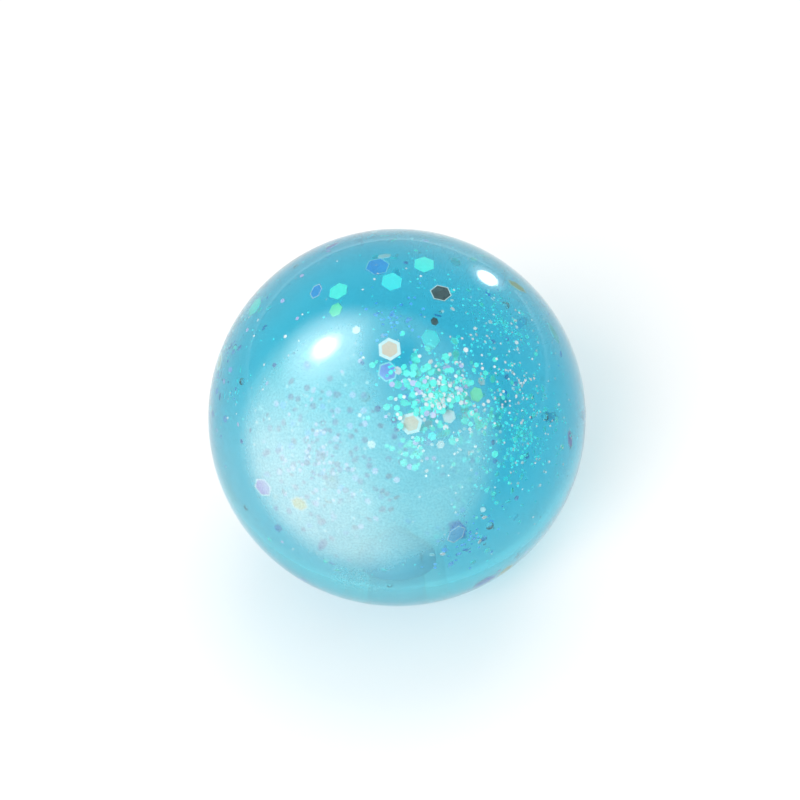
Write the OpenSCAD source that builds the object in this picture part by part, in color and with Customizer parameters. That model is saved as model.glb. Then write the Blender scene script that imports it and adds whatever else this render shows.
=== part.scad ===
// Glitter squeeze ball: a soft clear skin full of tinted liquid and hexagonal glitter.
// The skin is moulded in one piece round a core, which is stripped out through the neck in its foot.
// A barbed plug closes the neck and a bead of glue in the recess seals the plug.
// Frame: +Z up, origin on the floor under the centre of the ball. Longitude 0 faces -Y and 90 faces +X.

/* [Skin] */
// Outside diameter of the ball
ball_d = 60; // [54:1:75]
// Thickness of the skin
skin_t = 2.2; // [1.4:0.1:3]
// Diameter of the flat that the ball stands on
foot_d = 15; // [13:0.5:18]

/* [Neck] */
// Diameter of the fill hole
bore_d = 5; // [3.5:0.25:6]
// Thickness of the neck's wall round the fill hole
neck_t = 2; // [1.5:0.1:2.5]
// Height of the neck's lip above the floor
neck_h = 10; // [7:0.25:12]
// Radius of the blend from the neck into the skin
neck_blend = 1.6; // [0.8:0.2:2.4]
// Diameter of the recess under the foot
recess_d = 10; // [9:0.25:11.5]
// Depth of the recess under the foot
recess_h = 1.5; // [1.2:0.1:1.8]

/* [Plug] */
// Thickness of the plug's head
head_h = 0.8; // [0.5:0.1:1]
// How far the barb reaches past the fill hole's wall
barb_reach = 1.2; // [0.6:0.1:1.6]
// Height of the cone between the barb and the round tip
cone_h = 1; // [0.5:0.25:2.5]
// Radius of the round tip as a share of the barb's radius
tip_share = 0.55; // [0.3:0.05:0.7]
// Depth of the hollow in the glue under the plug
glue_dip = 0.25; // [0.1:0.05:0.35]

/* [Glitter] */
// Large flakes across their corners
large_d = 3.2; // [2:0.1:3.6]
// Small flakes across their corners
small_d = 1; // [0.6:0.05:1.2]
// Fine flakes across their corners
fine_d = 0.5; // [0.3:0.05:0.6]
// Thickness of the flakes
flake_t = 0.12; // [0.08:0.01:0.2]
// Distance between neighbouring places for small and fine flakes
small_pitch = 2.4; // [2.2:0.1:3.2]
// How much of the glitter that can gather in drifts has done so
gathered_share = 1; // [0.3:0.05:1.2]
// Share of the places that hold a small flake elsewhere
loose_share = 0.025; // [0:0.005:0.05]

/* [Bubbles] */
// Diameter of the largest air bubble
bubble_d = 1.5; // [0.8:0.1:1.8]

/* [Fits] */
// Gap between the liquid and the walls round it
liquid_gap = 0.1; // [0.05:0.05:0.3]
// Gap between a flake and the liquid round it
flake_gap = 0.06; // [0.05:0.01:0.1]
// Gap between the plug's stem and the fill hole, and between the glue and the recess
plug_gap = 0.04; // [0.02:0.01:0.1]
// Play between the barb and the neck's lip
barb_play = 0.1; // [0.05:0.05:0.3]

/* [Hidden] */
$fn = 96;

// Cuts run this far past the faces that they open
over = 1;

ball_r = ball_d / 2;
cavity_r = ball_r - skin_t;
// The foot's flat sets how high the ball's centre stands above the floor
centre_z = sqrt(pow(ball_r, 2) - pow(foot_d / 2, 2));

bore_r = bore_d / 2;
neck_r = bore_r + neck_t;
stem_r = bore_r - plug_gap;
barb_r = bore_r + barb_reach;
barb_z = neck_h + barb_play;
tip_r = tip_share * barb_r;
tip_z = barb_z + cone_h;
nose_z = tip_z + tip_r;

// A full squeeze takes the middle of the filling down by a third of the ball's radius
squeeze_drop = ball_r / 3;

// Flakes and bubbles stay this far from the cavity's wall
wall_margin = 4 * liquid_gap;
// A flake keeps this far from its neighbours and from bubbles
flake_margin = 4 * flake_gap;
// Flakes also stay out of a column over the plug, because a full squeeze takes them down past it
column_r = max(neck_r, barb_r) + large_d / 2 + wall_margin;
column_z = nose_z + squeeze_drop + large_d / 2 + wall_margin;

// Large flakes, by colour: longitude, latitude, share of the way to the wall, tilt, turn, size share
large_aqua = [
  [-155, 86, 1, 30, 180, 1], [40, 71, 0.85, 20, 20, 0.9], [100, 30, 1, 15, 40, 1],
  [-120, -15, 1, 30, 70, 1], [70, -40, 0.95, 20, 120, 0.9]
];
large_mint = [
  [147, 74, 1, 30, 180, 1], [-97, 71, 1, 10, 60, 0.95], [165, 30, 0.95, 25, 10, 1],
  [-165, 10, 1, 15, 140, 0.9], [-110, 35, 1, 20, 80, 1]
];
large_green = [
  [-82, 69, 0.93, 20, 20, 0.7], [39, 46, 1, 10, 20, 0.7], [130, -10, 0.9, 20, 45, 1],
  [-75, -35, 1, 25, 90, 0.9]
];
large_blue = [
  [-102, 63, 1, 30, 30, 0.8], [-166, 59, 0.77, 25, 180, 1], [19, 2, 1, 20, 75, 1],
  [154, -64, 1, 20, 75, 0.5], [80, -20, 1, 20, 130, 1], [-145, 25, 1, 15, 50, 0.9]
];
large_violet = [
  [-8, 63, 0.77, 15, 25, 0.9], [-48, 7, 1, 20, 85, 1], [-150, 45, 0.95, 20, 35, 0.8],
  [75, 5, 0.95, 25, 100, 0.9], [115, -45, 1, 15, 65, 1]
];
large_peach = [
  [-6, 67, 1, 5, 40, 1.1], [6, 43, 1, 5, 10, 1.05], [-158, -55, 1, 20, 80, 0.5],
  [-100, 15, 1, 25, 60, 1], [150, 10, 0.95, 30, 20, 0.9]
];
large_gold = [
  [-33, 9, 1, 20, 50, 0.9], [120, 40, 0.95, 20, 95, 1], [-85, -15, 1, 15, 5, 0.8],
  [45, -35, 1, 30, 150, 1]
];
large_smoke = [
  [90, 76, 1, 10, 200, 1], [45, 73, 1, 30, 10, 0.4], [-130, 5, 0.9, 20, 25, 1],
  [-35, -45, 1, 35, 115, 0.9]
];
large_pearl = [
  [23, 43, 1, 10, 30, 0.65], [-41, 70, 1, 10, 5, 0.4], [-10, 36, 1, 10, 20, 0.4],
  [17, 35, 1, 15, 50, 0.4], [-170, 65, 0.9, 15, 10, 0.6], [100, 0, 1, 20, 45, 0.6]
];
large_places = concat(
  large_aqua, large_mint, large_green, large_blue, large_violet,
  large_peach, large_gold, large_smoke, large_pearl
);
large_reach = cavity_r - liquid_gap - wall_margin - large_d / 2;

// Drifts of small flakes: longitude, latitude, spread in degrees, least and greatest share of the way
// to the wall, share of the places filled, size share, and the colours found there
drifts = [
  [-27, 27, 28, 0.88, 1, 0.85, 1, ["slate", "lilac", "slate", "slate", "blue"]],
  [24, 50, 18, 0.68, 1, 0.8, 1.3, ["mint", "aqua", "mint", "pearl", "mint", "lilac"]],
  [48, 28, 25, 0.78, 1, 0.5, 0.8, ["aqua", "slate", "mint", "aqua"]],
  [22, -2, 13, 0.88, 1, 0.6, 0.9, ["aqua", "blue", "pearl", "blue"]],
  [80, 55, 18, 0.88, 1, 0.4, 0.7, ["aqua", "mint", "slate", "pearl"]],
  [170, 20, 30, 0.78, 1, 0.35, 1, ["mint", "aqua", "lilac", "pearl"]],
  [-110, 10, 24, 0.78, 1, 0.4, 0.9, ["lilac", "slate", "aqua", "mint"]],
  [120, -30, 20, 0.88, 1, 0.4, 1, ["aqua", "mint", "blue", "pearl"]]
];
// Drifts of fine flakes, in the same order
fine_drifts = [
  [24, 50, 24, 0.78, 1, 0.6, 1, ["aqua", "pearl"]],
  [48, 28, 28, 0.78, 1, 0.35, 1, ["aqua", "aqua", "pearl"]],
  [80, 55, 24, 0.78, 1, 0.35, 1, ["aqua", "pearl"]],
  [-28, 30, 30, 0.78, 1, 0.2, 1, ["pearl"]],
  [170, 20, 30, 0.78, 1, 0.2, 1, ["aqua", "pearl"]],
  [-110, 10, 24, 0.78, 1, 0.25, 1, ["pearl", "aqua"]]
];
loose_colours = ["aqua", "mint", "pearl", "lilac", "slate", "blue"];
largest_small = small_d * max([for (g = drifts) g[6]]);
small_reach = cavity_r - liquid_gap - wall_margin - largest_small / 2;
// Fine flakes lie on shells halfway between those of the small ones, which keeps the two apart
small_shells = [for (share = [0.38:0.1:0.98]) share];
fine_shells = [0.83, 0.93];

// Air bubbles cling to the wall, spread along a spiral
bubble_count = 26;
bubble_reach = cavity_r - liquid_gap - wall_margin - bubble_d / 2;

golden_angle = 180 * (3 - sqrt(5));

// A number from 0 to 1 that looks random and is the same on every run
function scatter(i, k) = let (v = sin(i * 78.233 + k * 37.719) * 43758.5453) v - floor(v);

// The direction of a longitude and latitude
function direction(lon, lat) = [cos(lat) * sin(lon), -cos(lat) * cos(lon), sin(lat)];

// Point i of count points spread evenly over a ball, as longitude and latitude
function spiral(i, count) = [
  (i * golden_angle) % 360 - 180,
  asin(1 - 2 * (i + 0.5) / count)
];

// Where a place's middle lies, from the ball's centre
function middle(place, reach) = place[2] * reach * direction(place[0], place[1]);

function clear_of_column(p) = norm([p[0], p[1]]) > column_r || p[2] + centre_z > column_z;

// Whether a round thing at p keeps clear of others, each given as middle and diameter
function clear_of(p, d, others) =
  len([for (q = others) if (norm(p - q[0]) < (d + q[1]) / 2 + flake_margin) 1]) == 0;

// The first of some drifts that holds a direction at a share of the way to the wall, or -1
function drift(way, share, groups, k = 0) =
  k == len(groups) ? -1 :
  let (g = groups[k], apart = acos(min(1, way * direction(g[0], g[1]))))
  apart < g[2] && share > g[3] - 0.01 && share < g[4] + 0.01 ? k : drift(way, share, groups, k + 1);

large_spots = [for (place = large_places) [middle(place, large_reach), large_d * place[5]]];

// Bubbles: middle and diameter
bubbles = [
  for (i = [0:bubble_count - 1])
  let (
    at = spiral(i, bubble_count),
    size = bubble_d * (0.35 + 0.65 * scatter(i, 1)),
    p = bubble_reach * direction(at[0], at[1])
  )
  if (clear_of_column(p) && clear_of(p, size, large_spots)) [p, size]
];

// Strewn flakes: longitude, latitude, share of the way to the wall, tilt, turn, size share, colour
function strewn(shells, groups, loose, d) = [
  for (shell = shells)
  let (count = round(pow(3 * shell * small_reach / small_pitch, 2)))
  for (i = [0:count - 1])
  let (
    at = spiral(i, count),
    way = direction(at[0], at[1]),
    p = shell * small_reach * way,
    pick = i + 997 * shell,
    g = drift(way, shell, groups),
    filled = g < 0 ? loose : gathered_share * groups[g][5],
    size = g < 0 ? 0.8 : groups[g][6],
    colours = g < 0 ? loose_colours : groups[g][7]
  )
  if (
    scatter(pick, 2) < filled && clear_of_column(p)
    && clear_of(p, d * size, large_spots) && clear_of(p, d * size, bubbles)
  )
  [
    at[0], at[1], shell, 40 * scatter(pick, 3), 360 * scatter(pick, 4), size,
    colours[floor(len(colours) * scatter(pick, 5))]
  ]
];

small_places = strewn(small_shells, drifts, loose_share, small_d);
fine_places = strewn(fine_shells, fine_drifts, 0, fine_d);

// Half of a disc about the ball's centre, in the plane that is turned into a solid
module half_disc(r) {
  intersection() {
    translate([0, centre_z]) circle(r);
    translate([0, centre_z - r]) square([r, 2 * r]);
  }
}

// Section of the neck above the floor, with its blend into the skin, grown by an amount all round
module neck_section(grow = 0) {
  outer = neck_r + grow;
  blend = neck_blend - grow;
  wall = cavity_r - grow;
  blend_x = outer + blend;
  blend_z = centre_z - sqrt(pow(wall - blend, 2) - pow(blend_x, 2));
  // The blend meets the wall on the line from the ball's centre through the blend's own centre
  meet = wall / (wall - blend);
  meet_x = blend_x * meet;
  meet_z = centre_z - (centre_z - blend_z) * meet;
  lip_r = neck_t / 2 + grow;
  square([outer, neck_h + grow - lip_r]);
  translate([outer - lip_r, neck_h + grow - lip_r]) circle(lip_r);
  square([outer - lip_r, neck_h + grow]);
  difference() {
    polygon([[0, 0], [meet_x, 0], [meet_x, meet_z], [blend_x, blend_z], [outer, blend_z], [0, blend_z]]);
    translate([blend_x, blend_z]) circle(blend);
  }
}

// Section of the barb and nose, grown by an amount all round
module nose_section(grow = 0) {
  tip = tip_r + grow;
  // The cone's flank runs on into the round tip, so it leaves the tip's circle at the flank's own slope
  slope = atan2(barb_r - tip_r, cone_h);
  polygon([
    [0, barb_z - grow], [barb_r + grow, barb_z - grow], [barb_r + grow, barb_z],
    [tip * cos(slope), tip_z + tip * sin(slope)], [0, tip_z + tip * sin(slope)]
  ]);
  intersection() {
    translate([0, tip_z]) circle(tip);
    translate([0, tip_z]) square(2 * tip);
  }
}

// The soft shell, with its flat foot, neck, fill hole and recess
module skin() {
  color([0.35, 0.78, 0.88, 0.35])
    rotate_extrude()
      difference() {
        union() {
          difference() {
            half_disc(ball_r);
            half_disc(cavity_r);
          }
          intersection() {
            neck_section();
            half_disc(ball_r);
          }
        }
        translate([0, -ball_r]) square([2 * ball_r, ball_r]);
        translate([0, -over]) square([bore_r, neck_h + 2 * over]);
        translate([0, -over]) square([recess_d / 2, recess_h + over]);
      }
}

// The plug: a head in the recess, a stem in the fill hole, and a barb and nose inside the ball
module fill_plug() {
  head_z = recess_h - head_h;
  color([0.6, 0.86, 0.93])
    rotate_extrude() {
      translate([0, head_z]) square([recess_d / 2 - plug_gap, head_h]);
      translate([0, head_z]) square([stem_r, barb_z - head_z]);
      nose_section();
    }
}

// The glue that fills the recess under the plug's head, with a hollow face that stays off the floor
module plug_seal() {
  seal_r = recess_d / 2 - plug_gap;
  seal_h = recess_h - head_h;
  // A shallow dip of that depth across the seal is part of a ball of this radius
  dip_r = (pow(seal_r, 2) + pow(glue_dip, 2)) / (2 * glue_dip);
  color([0.75, 0.9, 0.95])
    rotate_extrude()
      difference() {
        translate([0, plug_gap]) square([seal_r, seal_h - plug_gap]);
        translate([0, plug_gap + glue_dip - dip_r]) circle(dip_r, $fn = 20 * $fn);
      }
}

// One flake: a hexagon at its place, grown by a gap all round
module flake(place, reach, d, gap = 0) {
  translate([0, 0, centre_z])
    rotate([90 - place[1], 0, place[0]])
      translate([0, 0, place[2] * reach])
        rotate([place[3], 0, place[4]])
          cylinder(d = d * place[5] + 2 * gap / cos(30), h = flake_t + 2 * gap, center = true, $fn = 6);
}

module large_flakes(places, tint) {
  color(tint) for (place = places) flake(place, large_reach, large_d);
}

module small_flakes(name, tint) {
  color(tint) for (place = small_places) if (place[6] == name) flake(place, small_reach, small_d);
}

module fine_flakes(name, tint) {
  color(tint) for (place = fine_places) if (place[6] == name) flake(place, small_reach, fine_d);
}

// The liquid: it fills the cavity round the neck and plug, the flakes and the air bubbles
module filling() {
  color([0.45, 0.83, 0.92, 0.5])
    difference() {
      rotate_extrude()
        difference() {
          half_disc(cavity_r - liquid_gap);
          neck_section(liquid_gap);
          nose_section(liquid_gap);
        }
      for (place = large_places) flake(place, large_reach, large_d, flake_gap);
      for (place = small_places) flake(place, small_reach, small_d, flake_gap);
      for (place = fine_places) flake(place, small_reach, fine_d, flake_gap);
      for (b = bubbles) translate([0, 0, centre_z]) translate(b[0]) sphere(d = b[1], $fn = 24);
    }
}

skin();
fill_plug();
plug_seal();
filling();
large_flakes(large_aqua, "turquoise");  // large_flakes_aqua
large_flakes(large_mint, "aquamarine");  // large_flakes_mint
large_flakes(large_green, "springgreen");  // large_flakes_green
large_flakes(large_blue, "royalblue");  // large_flakes_blue
large_flakes(large_violet, "mediumpurple");  // large_flakes_violet
large_flakes(large_peach, "peachpuff");  // large_flakes_peach
large_flakes(large_gold, "khaki");  // large_flakes_gold
large_flakes(large_smoke, "dimgray");  // large_flakes_smoke
large_flakes(large_pearl, "mistyrose");  // large_flakes_pearl
small_flakes("aqua", "turquoise");  // small_flakes_aqua
small_flakes("mint", "aquamarine");  // small_flakes_mint
small_flakes("pearl", "mistyrose");  // small_flakes_pearl
small_flakes("lilac", "thistle");  // small_flakes_lilac
small_flakes("slate", "slategray");  // small_flakes_slate
small_flakes("blue", "cornflowerblue");  // small_flakes_blue
fine_flakes("aqua", "turquoise");  // fine_flakes_aqua
fine_flakes("pearl", "mistyrose");  // fine_flakes_pearl
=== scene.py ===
# %% [markdown]
# A glitter squeeze ball is a soft clear skin, full of tinted liquid, with loose hexagons of glitter film
# and fine dust in it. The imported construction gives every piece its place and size. This lesson dresses it:
# clear rubber and tinted liquid that bend light as the real ones do, film with a pale cut edge, dust and
# tiny bubbles, and a plain studio to see them in.

# %% Load the construction
import math
import random

import bmesh
import bpy
from mathutils import Matrix, Vector


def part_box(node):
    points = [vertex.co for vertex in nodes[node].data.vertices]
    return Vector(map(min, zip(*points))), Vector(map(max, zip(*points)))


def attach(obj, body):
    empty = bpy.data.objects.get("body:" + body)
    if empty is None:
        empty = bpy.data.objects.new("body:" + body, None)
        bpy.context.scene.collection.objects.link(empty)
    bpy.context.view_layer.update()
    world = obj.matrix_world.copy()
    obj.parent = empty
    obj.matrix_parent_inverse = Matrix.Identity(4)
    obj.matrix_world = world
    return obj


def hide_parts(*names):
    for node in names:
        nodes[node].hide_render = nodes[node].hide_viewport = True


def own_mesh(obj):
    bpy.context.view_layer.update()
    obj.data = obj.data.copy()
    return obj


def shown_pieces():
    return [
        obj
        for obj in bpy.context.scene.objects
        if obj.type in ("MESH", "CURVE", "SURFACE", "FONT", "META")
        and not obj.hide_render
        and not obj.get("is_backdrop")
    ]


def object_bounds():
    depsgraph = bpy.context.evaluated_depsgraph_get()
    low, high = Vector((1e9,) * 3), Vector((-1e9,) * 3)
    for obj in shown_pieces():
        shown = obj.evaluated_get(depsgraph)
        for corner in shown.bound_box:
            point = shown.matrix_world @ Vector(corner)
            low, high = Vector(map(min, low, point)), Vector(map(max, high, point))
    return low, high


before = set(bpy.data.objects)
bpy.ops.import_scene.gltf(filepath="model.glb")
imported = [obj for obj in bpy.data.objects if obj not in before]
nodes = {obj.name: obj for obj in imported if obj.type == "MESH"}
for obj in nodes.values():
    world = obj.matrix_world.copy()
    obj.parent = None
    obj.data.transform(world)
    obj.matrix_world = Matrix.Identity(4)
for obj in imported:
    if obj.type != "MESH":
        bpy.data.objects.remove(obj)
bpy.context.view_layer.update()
skin_low, skin_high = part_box("skin")
liquid_low, liquid_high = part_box("filling")
mm = 0.001
ball_r = (skin_high.x - skin_low.x) / 2
liquid_r = (liquid_high.x - liquid_low.x) / 2
centre = Vector((0, 0, skin_high.z - ball_r))
print(f"ball radius {ball_r / mm:.2f} mm, liquid radius {liquid_r / mm:.2f} mm, {len(nodes)} nodes")

# %% [markdown]
# Every finish of the ball is a Principled BSDF. One helper makes an empty material with that shader in it,
# and two more fill in a node's inputs and add a node in one line, so that a cell only has to say what is
# special about its own finish.


# %% Material helpers
def new_finish(name):
    """A material with one Principled BSDF; gives the material, its node tree, shader and output."""
    finish = bpy.data.materials.new(name)
    finish.use_nodes = True
    tree = finish.node_tree
    tree.nodes.clear()
    out = tree.nodes.new("ShaderNodeOutputMaterial")
    shader = tree.nodes.new("ShaderNodeBsdfPrincipled")
    tree.links.new(shader.outputs["BSDF"], out.inputs["Surface"])
    return finish, tree, shader, out


def wire(tree, made, **inputs):
    """Puts values or links on inputs, by name or by number as i0, i1; a colour is three values."""
    for key, value in inputs.items():
        numbered = key[0] == "i" and key[1:].isdigit()
        socket = made.inputs[int(key[1:]) if numbered else key.replace("_", " ")]
        if isinstance(value, bpy.types.NodeSocket):
            tree.links.new(value, socket)
        else:
            socket.default_value = (*value, 1) if socket.type == "RGBA" else value


def node(tree, kind, settings=None, **inputs):
    """A new node with settings on itself and values or links on its inputs."""
    made = tree.nodes.new("ShaderNode" + kind)
    for key, value in (settings or {}).items():
        setattr(made, key, value)
    wire(tree, made, **inputs)
    return made


# %% [markdown]
# The patterns on the finishes come from a few kinds of node: sums, values carried from one range to
# another, noise on the piece's own coordinates, and colours between two others. Each has a short name here.


# %% Pattern helpers
def calc(tree, operation, first, second):
    """A sum, product or the like of two values."""
    return node(tree, "Math", {"operation": operation}, i0=first, i1=second).outputs[0]


def ranged(tree, value, start, end, first=0.0, last=1.0, ease="LINEAR"):
    """Carries a value from one range over to another and holds it at the ends."""
    mapped = node(
        tree, "MapRange", {"interpolation_type": ease}, Value=value,
        From_Min=start, From_Max=end, To_Min=first, To_Max=last,
    )
    return mapped.outputs["Result"]


def own_spot(tree):
    """The place on the piece, in the piece's own coordinates."""
    return node(tree, "TexCoord").outputs["Object"]


def noise(tree, scale, detail):
    return node(tree, "TexNoise", Vector=own_spot(tree), Scale=scale, Detail=detail).outputs["Fac"]


def between(tree, share, first, second):
    """A colour between two others; the colour sockets of a Mix node go by number."""
    return node(tree, "Mix", {"data_type": "RGBA"}, Factor=share, i6=first, i7=second).outputs[2]


def bumpy(tree, height, strength, distance):
    """A normal that follows a pattern of heights."""
    return node(tree, "Bump", Height=height, Strength=strength, Distance=distance).outputs["Normal"]


# %% [markdown]
# Clear rubber and liquid are glass to a renderer: full transmission, with the index of refraction of the
# material. Light from a lamp can't find its way through glass by aiming at the lamp, so a Light Path switch
# makes these surfaces plainly see-through to shadow rays, with a little tint. The glitter inside is then
# lit, and the ball casts a pale tinted shadow.


# %% Clear finishes
def clear_finish(name, index, roughness=0.0, shade=(1, 1, 1)):
    """A finish like glass; the shade is what it leaves of the light from a lamp."""
    finish, tree, shader, out = new_finish(name)
    wire(tree, shader, Base_Color=(1, 1, 1), Transmission_Weight=1, IOR=index, Roughness=roughness)
    shadow = node(tree, "LightPath").outputs["Is Shadow Ray"]
    see_through = node(tree, "BsdfTransparent", Color=shade).outputs["BSDF"]
    mix = node(tree, "MixShader", i0=shadow, i1=shader.outputs["BSDF"], i2=see_through)
    wire(tree, out, Surface=mix.outputs["Shader"])
    return finish, tree, shader, out


# %% [markdown]
# The outside of the skin is smooth but not perfectly even, as soft mouldings are, so long shallow waves
# bend its reflections. The rubber has a breath of the liquid's colour. Towards the rim the look through the
# wall is long and slanting, and there that tint shows.

# %% Outside of the skin
rubber_index = 1.4
skin_shade = (0.95, 0.97, 0.98)
rubber_tint = (0.15, 0.62, 0.68)
rim_start, rim_full = 0.4, 0.75
skin_outside, tree, shader, _ = clear_finish(
    "rubber_outside", index=rubber_index, roughness=0.04, shade=skin_shade
)
waves = bumpy(tree, noise(tree, scale=90, detail=1.5), strength=0.12, distance=0.6 * mm)
slant = node(tree, "LayerWeight", Blend=0.5).outputs["Facing"]
rim = ranged(tree, slant, rim_start, rim_full)
wire(tree, shader, Normal=waves, Base_Color=between(tree, rim, (1, 1, 1), rubber_tint))

# %% [markdown]
# The neck inside the ball is the same rubber, with liquid on one side and the plug on the other, so it
# hardly bends light and shows as a faint bluish film, a little stronger where it is seen edge on. Glass
# would add more surfaces to the way of the light here, and the renderer gives up after some number.

# %% Neck
film_start, film_least, film_most = 0.3, 0.05, 0.12
neck_finish, tree, shader, _ = new_finish("rubber_neck")
slant = node(tree, "LayerWeight", Blend=0.25).outputs["Facing"]
folds = noise(tree, scale=300, detail=3)
wire(
    tree, shader, Alpha=ranged(tree, slant, film_start, 1, film_least, film_most),
    Base_Color=between(tree, folds, (0.25, 0.45, 0.75), (0.65, 0.75, 1.0)),
)

# %% [markdown]
# The tint of the liquid is an absorbing volume: the longer the way through, the deeper the colour, which
# leaves the edge of the ball paler. Liquid and rubber bend light nearly alike, so light is bent at the
# outside of the skin and the liquid's own surface bends none. An air bubble in it does.

# %% Liquid and bubbles
liquid_shade = (0.87, 0.88, 0.89)
liquid_tint = (0.11, 0.87, 0.938)
tint_density = 80
liquid_finish, tree, shader, out = clear_finish("tinted_liquid", index=1.0, shade=liquid_shade)
tint = node(tree, "VolumeAbsorption", Color=liquid_tint, Density=tint_density)
wire(tree, out, Volume=tint.outputs["Volume"])
bubble_finish = clear_finish("air_bubble", index=1.33)[0]

# %% [markdown]
# The inside of the wall carries a painted pale glow, which stands in for the bright light that the ball
# shows through itself. The wall itself is left clear, so its alpha is nothing but the painted glow: a few
# round patches, each with a soft border. A patch has a longitude and latitude in degrees, an angle within
# which it is full, an angle at which it is gone, and a strength.


# %% Patches on the wall
def way_to(lon, lat):
    """The direction of a longitude and latitude in degrees; longitude 0 faces the viewer, 90 the right."""
    a, b = math.radians(lon), math.radians(lat)
    return Vector((math.cos(b) * math.sin(a), -math.cos(b) * math.cos(a), math.sin(b)))


def summed(tree, unit, patches):
    """All patches together, at a place on the wall given by its direction from the ball's centre."""
    total = 0.0
    for lon, lat, core, reach, strength in patches:
        heart = tuple(way_to(lon, lat))
        cosine = node(tree, "VectorMath", {"operation": "DOT_PRODUCT"}, i0=unit, i1=heart).outputs["Value"]
        gone, full = math.cos(math.radians(reach)), math.cos(math.radians(core))
        total = calc(tree, "ADD", total, ranged(tree, cosine, gone, full, 0, strength, "SMOOTHSTEP"))
    return total


# %% [markdown]
# The painted glow is faint and bluish over most of its place, and stronger and whiter low on the left. Over
# two places where flakes crowd against the wall it is taken out again, so that they show through. A broad
# noise makes the glow uneven, and a very fine one gives it a grain.

# %% Painted glow on the inner wall
# Patches of painted glow: longitude, latitude, full within, gone at, strength.
faint_glow_patches = [
    (-14, 35, 33, 47, 0.37),
    (10, -20, 5, 50, 0.12),
    (0, -30, 4, 30, 0.12),
    (-28, 28, 5, 32, 0.07),
    (150, 10, 20, 70, 0.35),
    (-130, 5, 10, 50, 0.25),
]
strong_glow_most = 0.16
strong_glow_patches = [(-40, 3, 5, 48, strong_glow_most)]
# Places where the painted glow is taken out, in the same columns.
glow_gaps = [(18, 54, 6, 22, 0.6), (-6, 67, 4, 12, 0.5)]
noise_low, noise_high = 0.3, 0.7
inner_wall_glow, tree, shader, _ = new_finish("rubber_inside_painted_glow")
way = node(tree, "VectorMath", {"operation": "SUBTRACT"}, i0=own_spot(tree), i1=tuple(centre)).outputs[0]
unit = node(tree, "VectorMath", {"operation": "NORMALIZE"}, i0=way).outputs[0]
faint_glow, strong_glow = summed(tree, unit, faint_glow_patches), summed(tree, unit, strong_glow_patches)
glow_gap_mask = ranged(tree, summed(tree, unit, glow_gaps), 0, 1, 1, 0)
drift = ranged(tree, noise(tree, scale=130, detail=3), noise_low, noise_high, 0.9, 1.06)
grain = ranged(tree, noise(tree, scale=3000, detail=2), noise_low, noise_high, 0.85, 1.15)
cover = calc(tree, "MULTIPLY", calc(tree, "ADD", faint_glow, strong_glow), glow_gap_mask)
painted_glow = calc(tree, "MULTIPLY", cover, calc(tree, "MULTIPLY", drift, grain))
pale = between(tree, ranged(tree, strong_glow, 0, strong_glow_most), (0.55, 1.0, 1.0), (0.80, 1.0, 1.0))
wire(tree, shader, Alpha=painted_glow, Base_Color=pale, Roughness=0.7, Specular_IOR_Level=0)
print(len(faint_glow_patches) + len(strong_glow_patches), "patches of bloom")

# %% [markdown]
# A new piece starts as a bmesh, which becomes an object at the origin. Changing the finishes of a piece
# clears the finish number of each face, so the helper that dresses a piece puts the numbers back.


# %% Piece helpers
def piece_from(bm, name):
    """Turns a bmesh into an object at the origin."""
    mesh = bpy.data.meshes.new(name)
    bm.to_mesh(mesh)
    bm.free()
    made = bpy.data.objects.new(name, mesh)
    bpy.context.collection.objects.link(made)
    return made


def dress(piece, *finishes):
    """Gives a piece its finishes, and keeps the number that each face had."""
    numbers = [face.material_index for face in piece.data.polygons]
    piece.data.materials.clear()
    for finish in finishes:
        piece.data.materials.append(finish)
    piece.data.polygons.foreach_set("material_index", numbers)


# %% [markdown]
# Skin and liquid are bodies of revolution, so half an outline, spun about the upright axis, makes all of
# each. Arcs give the round stretches of an outline. After the spin, only sharp corners stay sharp.

# %% Spin helpers
on_axis = 1e-6
weld_within = 1e-7
sharp_angle = math.radians(35)


def arc(mid, radius, start, end, steps):
    """Points on a circle in the outline's plane, from one angle to another in degrees."""
    angles = [math.radians(start + (end - start) * i / steps) for i in range(steps + 1)]
    return [(mid[0] + radius * math.cos(a), mid[1] + radius * math.sin(a)) for a in angles]


def spun(outline, steps=160):
    """A bmesh of an outline of (radius, height) points, spun about the upright axis."""
    bm = bmesh.new()
    verts = [bm.verts.new((r, 0, z)) for r, z in outline]
    pairs = [(a, b) for a, b in zip(verts, verts[1:]) if max(a.co.x, b.co.x) > on_axis]
    edges = [bm.edges.new(pair) for pair in pairs]
    bmesh.ops.spin(
        bm, geom=verts + edges, axis=(0, 0, 1), angle=2 * math.pi, steps=steps, use_merge=True
    )
    bmesh.ops.remove_doubles(bm, verts=bm.verts, dist=weld_within)
    bmesh.ops.recalc_face_normals(bm, faces=bm.faces)
    for face in bm.faces:
        face.smooth = True
    for edge in bm.edges:
        edge.smooth = edge.calc_face_angle(0) < sharp_angle
    return bm


# %% [markdown]
# The skin is moulded in one piece round a core. Its outline runs over the round outside to the top, back
# down the cavity's wall, up over the neck that stands inside, down the fill hole, and out through the
# recess to the flat foot. It follows the construction's own sizes.

# %% Outline of the skin
liquid_gap = 0.1 * mm
cavity_r = liquid_r + liquid_gap
foot_r, recess_r, recess_h = 7.5 * mm, 5 * mm, 1.5 * mm
bore_r, neck_r, neck_h, blend_r = 2.5 * mm, 4.5 * mm, 10 * mm, 1.6 * mm
lip_r = (neck_r - bore_r) / 2
lip_mid = (bore_r + lip_r, neck_h - lip_r)
middle = (0, centre.z)
wall_steps, blend_steps, lip_steps = 80, 6, 12


def neck_blend(wall, neck, blend):
    """The middle of the fillet between the neck and the cavity's wall, and where it meets the wall."""
    mid = (neck + blend, centre.z - math.sqrt((wall - blend) ** 2 - (neck + blend) ** 2))
    return mid, math.degrees(math.atan2(mid[1] - centre.z, mid[0]))


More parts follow.
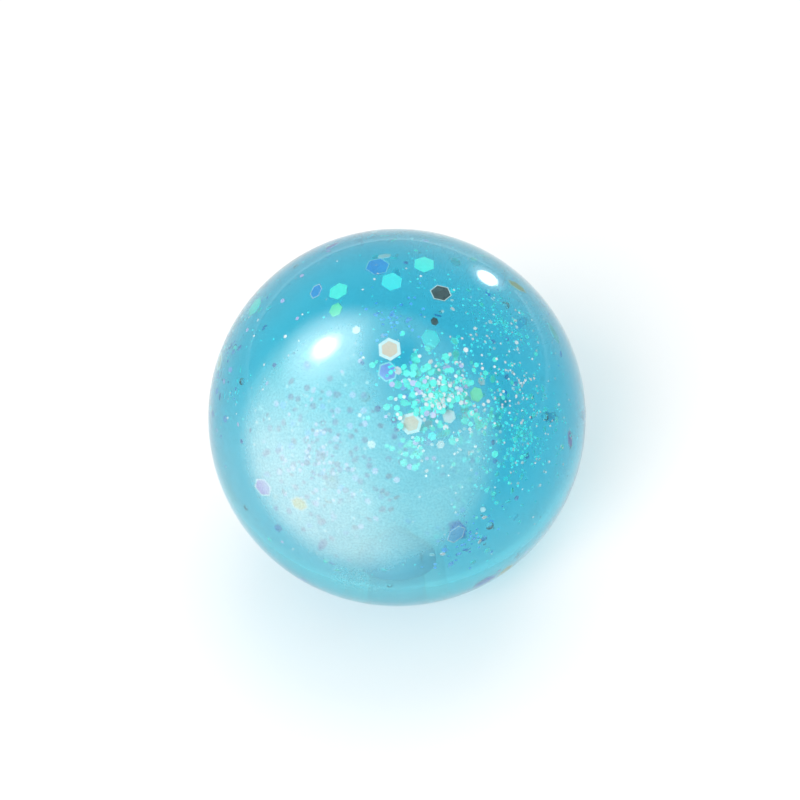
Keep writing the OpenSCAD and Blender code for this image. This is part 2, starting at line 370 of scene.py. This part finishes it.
foot_angle = -math.degrees(math.acos(foot_r / ball_r))
blend_mid, blend_meet = neck_blend(cavity_r, neck_r, blend_r)
outline = arc(middle, ball_r, foot_angle, 90, wall_steps)
outline += arc(middle, cavity_r, 90, blend_meet, wall_steps)
outline += arc(blend_mid, blend_r, blend_meet, -180, blend_steps)[1:]
outline += arc(lip_mid, lip_r, 0, 180, lip_steps)
outline += [(bore_r, recess_h), (recess_r, recess_h), (recess_r, 0), (foot_r, 0)]

# %% [markdown]
# Each face of the skin takes its finish from where it lies. The wall of the cavity has the painted glow, the
# neck and the fill hole have the film of the neck, and all the rest is the outside.

# %% Skin
skin = piece_from(spun(outline), "skin_shell")
dress(skin, skin_outside, inner_wall_glow, neck_finish)
on_wall = 0.2 * mm
for face in skin.data.polygons:
    reach = (face.center - centre).length
    if reach < ball_r - on_wall and face.center.z > recess_h + on_wall:
        face.material_index = 1 if abs(reach - cavity_r) < on_wall else 2
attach(skin, "skin")
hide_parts("skin")
skin.visible_shadow = False
print("skin", len(skin.data.polygons), "faces")

# %% [markdown]
# The construction's liquid has a hollow for each air bubble. A merged copy of it falls into separate closed
# shells, and the small ones with many corners are the bubbles. The others are the liquid's own surface and
# the pockets of the flakes.

# %% Find the bubbles
join_within = 1e-6
largest_bubble = 2 * mm
flake_corners = 20


def shells(bm):
    """The separate closed shells of a mesh, each as a list of its faces, in the mesh's own order."""
    seen, found = set(), []
    for first in bm.faces:
        if first in seen:
            continue
        seen.add(first)
        shell, front = [], [first]
        while front:
            face = front.pop()
            shell.append(face)
            for edge in face.edges:
                for other in edge.link_faces:
                    if other not in seen:
                        seen.add(other)
                        front.append(other)
        found.append(shell)
    return found


def merged_copy(name):
    """A bmesh copy of a construction node, with its loose triangles joined up."""
    bm = bmesh.new()
    bm.from_mesh(nodes[name].data)
    bmesh.ops.remove_doubles(bm, verts=bm.verts, dist=join_within)
    return bm


bm = merged_copy("filling")
bubbles = []
for shell in shells(bm):
    points = {vert for face in shell for vert in face.verts}
    low = Vector([min(p.co[k] for p in points) for k in range(3)])
    high = Vector([max(p.co[k] for p in points) for k in range(3)])
    if len(points) > flake_corners and (high - low).length < 2 * largest_bubble:
        bubbles.append(((low + high) / 2, (high - low).x / 2))
bm.free()
print(len(bubbles), "bubbles, radius up to", round(max(r for _, r in bubbles) / mm, 2), "mm")

# %% [markdown]
# Fizz is what the construction leaves out: bubbles of some tenths of a millimetre that cling to the wall.
# They are strewn with a seeded random number, so that every run gives the same ball.

# %% Fizz
shade_rng = random.Random(7)
fizz_count = 70
fizz_heights = (-0.75, 0.97)
fizz_least, fizz_most = 0.1, 0.28
fizz_gap = 0.15 * mm
for k in range(fizz_count):
    lon, height = shade_rng.uniform(-math.pi, math.pi), shade_rng.uniform(*fizz_heights)
    flat = math.sqrt(1 - height * height)
    way = Vector((flat * math.sin(lon), -flat * math.cos(lon), height))
    size = shade_rng.uniform(fizz_least, fizz_most) * mm
    bubbles.append((centre + way * (liquid_r - size - fizz_gap), size))
print(fizz_count, "bubbles of fizz")

# %% [markdown]
# The liquid is spun like the skin and keeps a hair's breadth from it, from the neck and from the plug's
# nose. Each bubble is a sphere turned inside out within the liquid, so that light leaves the liquid there.

# %% Liquid
soft_neck, soft_blend = neck_r + liquid_gap, blend_r - liquid_gap
soft_mid, soft_meet = neck_blend(liquid_r, soft_neck, soft_blend)
plug_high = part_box("fill_plug")[1]
barb_r = plug_high.x + liquid_gap
tip_r, tip_start, tip_steps = 2.2 * mm, 10, 8
outline = arc(middle, liquid_r, 90, soft_meet, wall_steps)
outline += arc(soft_mid, soft_blend, soft_meet, -180, blend_steps)[1:]
outline += arc(lip_mid, lip_r + liquid_gap, 0, 90, lip_steps // 2)
outline += [(barb_r, neck_h + liquid_gap), (barb_r, neck_h + 2 * liquid_gap)]
outline += arc((0, plug_high.z + liquid_gap - tip_r), tip_r, tip_start, 90, tip_steps)
bm = spun(outline)
tiny_r = 0.3 * mm
for place, size in bubbles:
    rounds = 2 if size > tiny_r else 1
    made = bmesh.ops.create_icosphere(
        bm, subdivisions=rounds, radius=size, matrix=Matrix.Translation(place)
    )
    walls = {face for vert in made["verts"] for face in vert.link_faces}
    bmesh.ops.reverse_faces(bm, faces=list(walls))
    for face in walls:
        face.smooth = True
        face.material_index = 1
liquid = piece_from(bm, "liquid")
dress(liquid, liquid_finish, bubble_finish)
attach(liquid, "filling")
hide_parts("filling")
print("liquid", len(liquid.data.polygons), "faces,", len(bubbles), "bubbles")

# %% [markdown]
# Glitter is cut from metallised or pearl film. Each flake leans its own way, so each shows another shade. A
# random shade per flake is kept on its faces as an attribute, and one node group turns it, with a fine
# facet pattern, into a colour between a deep and a bright tint.

# %% Film colour group
film_group = bpy.data.node_groups.new("film_colour", "ShaderNodeTree")
for socket, kind, way in (
    ("Deep", "NodeSocketColor", "INPUT"),
    ("Bright", "NodeSocketColor", "INPUT"),
    ("Colour", "NodeSocketColor", "OUTPUT"),
    ("Roughness", "NodeSocketFloat", "OUTPUT"),
):
    film_group.interface.new_socket(socket, in_out=way, socket_type=kind)
group_in = film_group.nodes.new("NodeGroupInput")
group_out = film_group.nodes.new("NodeGroupOutput")
facet_part = 0.35
rough_least, rough_most = 0.22, 0.42
shade = node(film_group, "Attribute", {"attribute_name": "shade"}).outputs["Fac"]
facets = node(film_group, "TexVoronoi", Vector=own_spot(film_group), Scale=700)
facet = node(film_group, "SeparateColor", Color=facets.outputs["Color"])
glint = calc(film_group, "MULTIPLY", facet.outputs["Red"], facet_part)
share = ranged(film_group, calc(film_group, "ADD", glint, shade), 0, 1 + facet_part)
wire(
    film_group, group_out,
    Colour=between(film_group, share, group_in.outputs["Deep"], group_in.outputs["Bright"]),
    Roughness=ranged(film_group, facet.outputs["Green"], 0, 1, rough_least, rough_most),
)

# %% [markdown]
# Each colour of film has a deep tint, a bright tint and a share of bare metal. Most of it is lacquered and
# milky, so it throws light back in its own colour rather than mirror the room. A clear coat gives it a
# gloss. The border of a large flake is white.


# %% Film finishes
def film_finish(name, deep, bright, metallic):
    """A film between two tints."""
    finish, tree, shader, _ = new_finish(name)
    film = node(tree, "Group", {"node_tree": film_group}, Deep=deep, Bright=bright)
    wire(tree, shader, Base_Color=film.outputs["Colour"], Roughness=film.outputs["Roughness"])
    wire(tree, shader, Metallic=metallic, Coat_Weight=0.2)
    return finish


film_tints = {
    "aqua": ((0.04, 0.92, 0.95), (0.06, 1.0, 1.0), 0.0),
    "mint": ((0.05, 0.94, 0.80), (0.10, 1.0, 0.90), 0.0),
    "green": ((0.15, 0.92, 0.50), (0.30, 1.0, 0.68), 0.0),
    "blue": ((0.03, 0.36, 0.90), (0.08, 0.58, 1.0), 0.1),
    "violet": ((0.46, 0.26, 0.68), (0.66, 0.46, 1.0), 0.0),
    "peach": ((1.0, 0.60, 0.44), (1.0, 0.78, 0.64), 0.0),
    "gold": ((0.80, 0.40, 0.02), (1.0, 0.62, 0.08), 0.0),
    "smoke": ((0.02, 0.06, 0.07), (0.08, 0.22, 0.24), 0.3),
    "pearl": ((0.96, 0.88, 0.93), (1.0, 0.97, 1.0), 0.0),
    "lilac": ((0.50, 0.45, 0.82), (0.75, 0.70, 1.0), 0.0),
    "slate": ((0.0, 0.06, 0.32), (0.10, 0.46, 0.80), 0.1),
}
films = {colour: film_finish("film_" + colour, *values) for colour, values in film_tints.items()}
film_edge = film_finish("film_edge", (0.85, 0.95, 0.97), (1.0, 1.0, 1.0), 0.0)
print(len(films), "film colours")

# %% [markdown]
# Slate flakes and dust carry painted shade and painted light by where they lie: in one cluster, left of the
# middle, they draw only dark shades, as if in shade, and elsewhere only bright ones, as if lit. A flake gets
# that by the part of the shades it draws from.

# %% Painted shade on slate
shaded_cluster_heart = way_to(-28, 28)
shaded_cluster_reach = math.cos(math.radians(36))
painted_shade_most, painted_light_least = 0.15, 0.7


def painted_slate_shade(spot, value):
    """The shade of slate film at a place: painted shade in the cluster, painted light elsewhere."""
    near = (spot - centre).normalized().dot(shaded_cluster_heart) > shaded_cluster_reach
    return painted_shade_most * value if near else painted_light_least + (1 - painted_light_least) * value


# %% [markdown]
# Each flake of the construction is a hexagonal plate. A merged copy of a node has its flat triangles
# dissolved into whole hexagons, and insetting those leaves a narrow border, which takes the pale look of
# the cut and embossed edge that large flakes have. The widths of the borders are in millimetres.

# %% Flakes
edge_w = {"peach": 0.45, "pearl": 0.35, "violet": 0.2, "gold": 0.2, "blue": 0.1, "smoke": 0.12}
face_least = 1.5 * mm**2
flat_within = math.radians(2)
large_spots = []
for name in [n for n in nodes if "flakes" in n]:
    size, _, colour = name.split("_")
    bm = merged_copy(name)
    bmesh.ops.dissolve_limit(bm, angle_limit=flat_within, verts=bm.verts, edges=bm.edges)
    shade_layer = bm.faces.layers.float.new("shade")
    for shell in shells(bm):
        value = shade_rng.random()
        spot = sum((face.calc_center_median() for face in shell), Vector()) / len(shell)
        # Slate takes painted shade in the cluster and painted light elsewhere, by where it lies.
        if colour == "slate":
            value = painted_slate_shade(spot, value)
        for face in shell:
            face[shade_layer] = value
        if size == "large":
            large_spots.append(spot)
    broad = [face for face in bm.faces if len(face.verts) == 6 and face.calc_area() > face_least]
    if size == "large" and broad and colour in edge_w:
        border = bmesh.ops.inset_individual(
            bm, faces=broad, thickness=edge_w[colour] * mm, use_even_offset=True
        )
        for face in border["faces"]:
            face.material_index = 1
    flakes = piece_from(bm, f"{size}_{colour}_film")
    dress(flakes, films[colour], film_edge)
    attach(flakes, "glitter")
    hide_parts(name)
print(len(large_spots), "large flakes")

# %% [markdown]
# The finest glitter is dust: chips of a few tenths of a millimetre, far too many for the construction. It
# lies thick where the flakes gather and thin elsewhere. Each drift of dust has a longitude, a latitude, a
# spread in degrees, a count, and a least and greatest radius in millimetres. A spread of 180 strews the
# whole wall but its lowest part.

# %% Drifts of dust
dust_drifts = {
    "aqua": [
        (24, 50, 26, 240, 0.10, 0.24), (48, 28, 34, 380, 0.10, 0.24), (80, 55, 26, 240, 0.08, 0.2),
        (170, 20, 50, 200, 0.10, 0.24), (0, 0, 180, 260, 0.08, 0.2),
    ],
    "mint": [
        (20, 49, 20, 150, 0.35, 0.6), (6, 38, 14, 26, 0.3, 0.5), (40, 38, 24, 50, 0.2, 0.4),
        (170, 20, 40, 60, 0.2, 0.5),
    ],
    "pearl": [
        (20, 49, 20, 130, 0.2, 0.45), (-28, 30, 60, 16, 0.10, 0.25), (60, 40, 40, 160, 0.10, 0.24),
        (-110, 10, 40, 120, 0.10, 0.3), (0, 0, 180, 160, 0.08, 0.2),
    ],
    "lilac": [(20, 49, 20, 40, 0.3, 0.5), (-28, 30, 34, 60, 0.2, 0.4), (-110, 10, 40, 60, 0.2, 0.4)],
    "slate": [(-28, 28, 36, 90, 0.25, 0.45), (-110, 10, 40, 120, 0.15, 0.3), (130, 15, 36, 100, 0.15, 0.3)],
    "blue": [(20, 0, 16, 80, 0.15, 0.3), (-5, 78, 14, 50, 0.15, 0.3), (130, 20, 40, 60, 0.15, 0.3)],
}
everywhere = 180
strewn_heights = (-0.3, 1)
half_spread = 0.5


def strewn(rng, lon, lat, spread):
    """A random direction near a place, dense in the middle and thinning out with the spread."""
    if spread >= everywhere:
        height = rng.uniform(*strewn_heights)
        return way_to(rng.uniform(-180, 180), math.degrees(math.asin(height)))
    heart = way_to(lon, lat)
    side = heart.orthogonal().normalized()
    lean = math.radians(spread) * abs(rng.gauss(0, half_spread))
    turned = Matrix.Rotation(rng.uniform(0, 2 * math.pi), 3, heart) @ side
    return (heart * math.cos(lean) + turned * math.sin(lean)).normalized()


# %% [markdown]
# A chip of dust is a thin six-sided plate. It floats close under the wall, about level with it and leaning
# a little at random. Chips that would cover a large flake are left out.

# %% Dust
dust_depth = (0.5 * mm, 1.3 * mm)
dust_clear = 2 * mm
dust_thick = 0.04 * mm
dust_lean = 0.3
for colour, drifts in dust_drifts.items():
    bm = bmesh.new()
    shade_layer = bm.faces.layers.float.new("shade")
    for lon, lat, spread, count, least, greatest in drifts:
        for k in range(count):
            way = strewn(shade_rng, lon, lat, spread)
            place = centre + way * (liquid_r - shade_rng.uniform(*dust_depth))
            radius = shade_rng.uniform(least, greatest) * mm
            lean = Vector([shade_rng.gauss(0, dust_lean) for axis in range(3)])
            value = shade_rng.random()
            # Slate dust takes painted shade in the cluster and painted light elsewhere, by where it lies.
            if colour == "slate":
                value = painted_slate_shade(place, value)
            if min((place - spot).length for spot in large_spots) < dust_clear:
                continue
            turn = (way + lean).to_track_quat("Z", "Y").to_matrix().to_4x4()
            made = bmesh.ops.create_cone(
                bm, cap_ends=True, segments=6, radius1=radius, radius2=radius, depth=dust_thick,
                matrix=Matrix.Translation(place) @ turn,
            )
            for face in {face for vert in made["verts"] for face in vert.link_faces}:
                face[shade_layer] = value
    dust = piece_from(bm, "dust_" + colour)
    dress(dust, films[colour])
    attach(dust, "glitter")
    print("dust", colour, len(dust.data.polygons), "faces")

# %% [markdown]
# Clear rubber turns milky where it soaks up liquid or glue. So the plug's nose, which stands in the liquid,
# throws half of the light back and shows from above as a pale blue patch. The head in the glue is dense,
# and the stem in the dry fill hole stays clear. The glue is a clear bead. A fine noise clouds them all.


# %% Plug and glue finishes
def clouded(tree, shader, dull, clear):
    """Mixes two shades by a fine noise and lets the same noise roughen the surface."""
    cloud = noise(tree, scale=400, detail=4)
    rough = bumpy(tree, cloud, strength=0.2, distance=0.2 * mm)
    wire(tree, shader, Base_Color=between(tree, cloud, dull, clear), Normal=rough)


wet_shade = (0.92, 0.95, 1.0)
nose_alpha = 0.5
plug_milky, tree, shader, _ = new_finish("plug_milky")
clouded(tree, shader, (0.70, 0.86, 1.0), (0.88, 0.96, 1.0))
height = node(tree, "SeparateXYZ", Vector=own_spot(tree)).outputs["Z"]
wire(tree, shader, Roughness=0.5, Alpha=ranged(tree, height, recess_h, neck_h, 1.0, nose_alpha))
plug_clear, tree, shader, _ = clear_finish("plug_clear", index=1.05, roughness=0.1, shade=wet_shade)
clouded(tree, shader, (0.80, 0.90, 1.0), (0.94, 0.98, 1.0))
glue_finish, tree, shader, _ = clear_finish("glue_clear", index=1.1, roughness=0.12, shade=wet_shade)
clouded(tree, shader, (0.86, 0.88, 0.9), (0.96, 0.98, 1.0))

# %% [markdown]
# Plug and glue are copies of the construction's solids, with their triangles joined up, and hang on the
# skin's body. The faces of the plug's nose and of its head take the milky finish.

# %% Plug and glue
plug = piece_from(merged_copy("fill_plug"), "plug_body")
dress(plug, plug_clear, plug_milky)
head_h = 1.1 * recess_h
soaked = [int(not head_h < face.center.z < neck_h) for face in plug.data.polygons]
plug.data.polygons.foreach_set("material_index", soaked)
glue = piece_from(merged_copy("plug_seal"), "glue_bead")
dress(glue, glue_finish)
for piece, name, slot in ((plug, "fill_plug", "plug"), (glue, "plug_seal", "glue")):
    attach(piece, "skin")
    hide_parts(name)
print("milky plug faces", sum(soaked), "of", len(soaked))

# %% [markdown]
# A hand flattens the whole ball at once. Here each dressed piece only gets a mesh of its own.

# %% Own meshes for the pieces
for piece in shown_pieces():
    if piece.name in nodes:
        continue
    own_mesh(piece)

# %% [markdown]
# The studio is plain. Its floor is pale paper, which keeps the ball's shadow close by and fades into the
# white of the world further off. That fading is for what looks at the floor, straight or by way of the
# ball, and not for the light that the floor throws on things.


# %% Floor
def seen_directly(tree):
    """1 for what is seen, also in a reflection or through the ball, and 0 for light that falls on things."""
    path = node(tree, "LightPath")
    rays = [path.outputs[f"Is {kind} Ray"] for kind in ("Camera", "Glossy", "Transmission")]
    seen = calc(tree, "MAXIMUM", calc(tree, "MAXIMUM", rays[0], rays[1]), rays[2])
    return calc(tree, "MULTIPLY", seen, calc(tree, "LESS_THAN", path.outputs["Diffuse Depth"], 0.5))


floor_half = 6
paper_colour = (0.92, 0.92, 0.92)
fade_near, fade_far = 0.2, 1.5
lift_near, lift_far = 0.06, 1.0
bm = bmesh.new()
bmesh.ops.create_grid(bm, x_segments=1, y_segments=1, size=floor_half)
floor = piece_from(bm, "floor")
floor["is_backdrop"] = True
paper, tree, shader, _ = new_finish("floor_paper")
away = node(tree, "VectorMath", {"operation": "LENGTH"}, i0=own_spot(tree)).outputs["Value"]
lift = ranged(tree, away, fade_near, fade_far, lift_near, lift_far, "SMOOTHSTEP")
glow = calc(tree, "MULTIPLY", seen_directly(tree), lift)
wire(tree, shader, Base_Color=paper_colour, Roughness=1, Specular_IOR_Level=0)
wire(tree, shader, Emission_Color=(1, 1, 1), Emission_Strength=glow)
dress(floor, paper)

# %% [markdown]
# The world is white where it is seen, and the ball reflects it and shows it through itself. The light that
# it sheds is half as strong, so that the lamps give the ball its form.

# %% World
scene = bpy.context.scene
scene.view_settings.view_transform = "Standard"
world = bpy.data.worlds.new("studio")
scene.world = world
world.use_nodes = True
tree = world.node_tree
shed, seen = 0.5, 1.0
level = ranged(tree, seen_directly(tree), 0, 1, shed, seen)
wire(tree, tree.nodes["Background"], Color=(1, 1, 1), Strength=level)

# %% [markdown]
# Two large soft lamps light the ball from the front left and from above, a little behind it. They are
# left out of what the ball reflects and shows through itself, where their square outlines would appear.


# %% Lamps
def faces_ball(thing, toward, distance, roll=0):
    """Puts a thing at a distance from the ball, in a direction, and turns it to face the ball."""
    way = Vector(toward).normalized()
    turn = (-way).to_track_quat("-Z", "Y").to_matrix().to_4x4()
    rolled = Matrix.Rotation(math.radians(roll), 4, "Z")
    thing.matrix_world = Matrix.Translation(centre + way * distance) @ turn @ rolled


def lamp(name, toward, distance, size, watts):
    """A square lamp that lights things without being seen in them."""
    data = bpy.data.lights.new(name, "AREA")
    data.size = size
    data.energy = watts
    made = bpy.data.objects.new(name, data)
    bpy.context.collection.objects.link(made)
    faces_ball(made, toward, distance)
    made.visible_glossy = False
    made.visible_transmission = False


lamp("front_lamp", toward=(-0.35, -0.65, 0.67), distance=0.9, size=0.35, watts=5.7)
lamp("top_lamp", toward=(0.1, 0.45, 0.88), distance=1.0, size=0.6, watts=2.7)

# %% [markdown]
# Two panels that only reflections see give the ball its two highlights: a soft box with a glow round a
# bright middle, and a small window. A panel starts at the brightness of the world behind it, so that its
# outline doesn't show, and adds rings of light to that.


# %% Panels
def panel(name, toward, distance, size, roll, rings):
    """A panel with rings of light on it, each with an outer share, an inner share and a strength."""
    bm = bmesh.new()
    bmesh.ops.create_grid(bm, x_segments=1, y_segments=1, size=0.5)
    bmesh.ops.scale(bm, vec=(*size, 1), verts=bm.verts)
    made = piece_from(bm, name)
    faces_ball(made, toward, distance, roll)
    finish = bpy.data.materials.new(name)
    finish.use_nodes = True
    tree = finish.node_tree
    tree.nodes.clear()
    half = (size[0] / 2, size[1] / 2, 1)
    scaled = node(tree, "VectorMath", {"operation": "DIVIDE"}, i0=own_spot(tree), i1=half).outputs[0]
    off = node(tree, "VectorMath", {"operation": "LENGTH"}, i0=scaled).outputs["Value"]
    level = 1.0
    for outer, inner, strength in rings:
        level = calc(tree, "ADD", level, ranged(tree, off, outer, inner, 0, strength, "SMOOTHSTEP"))
    glow = node(tree, "Emission", Strength=level)
    node(tree, "OutputMaterial", Surface=glow.outputs["Emission"])
    dress(made, finish)
    finish.cycles.emission_sampling = "NONE"
    for ray in ("camera", "diffuse", "transmission", "volume_scatter", "shadow"):
        setattr(made, "visible_" + ray, False)
    made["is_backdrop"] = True


panel(
    "softbox", toward=(-0.626, 0.08, 0.775), distance=0.6, size=(0.8, 0.62), roll=108,
    rings=[(1, 0, 9), (0.32, 0, 38)],
)
panel(
    "window", toward=(0.486, 0.847, 0.215), distance=0.6, size=(0.16, 0.30), roll=20,
    rings=[(1, 0.4, 2), (0.55, 0.3, 20)],
)

# %% [markdown]
# The camera looks down at the ball at about 45 degrees, as the picture was taken, through a long lens. A
# small shift puts the ball where it is in the picture.

# %% Camera
camera = bpy.data.objects.new("camera", bpy.data.cameras.new("camera"))
bpy.context.collection.objects.link(camera)
scene.camera = camera
camera.data.lens = 100
camera.data.sensor_width = 36
camera.data.shift_x = 0.00375
camera.data.shift_y = 0.0219
camera.data.clip_start = 0.01
view_height = math.radians(45)
view_distance = 0.354
back = Vector((0, -math.cos(view_height), math.sin(view_height)))
camera.location = centre + back * view_distance
camera.rotation_euler = (-back).to_track_quat("-Z", "Y").to_euler()

# %% [markdown]
# The last cell prints the box of the dressed ball.

# %% Size of the dressed ball
low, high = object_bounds()
print("visual box", [round(v, 5) for v in low], [round(v, 5) for v in high])
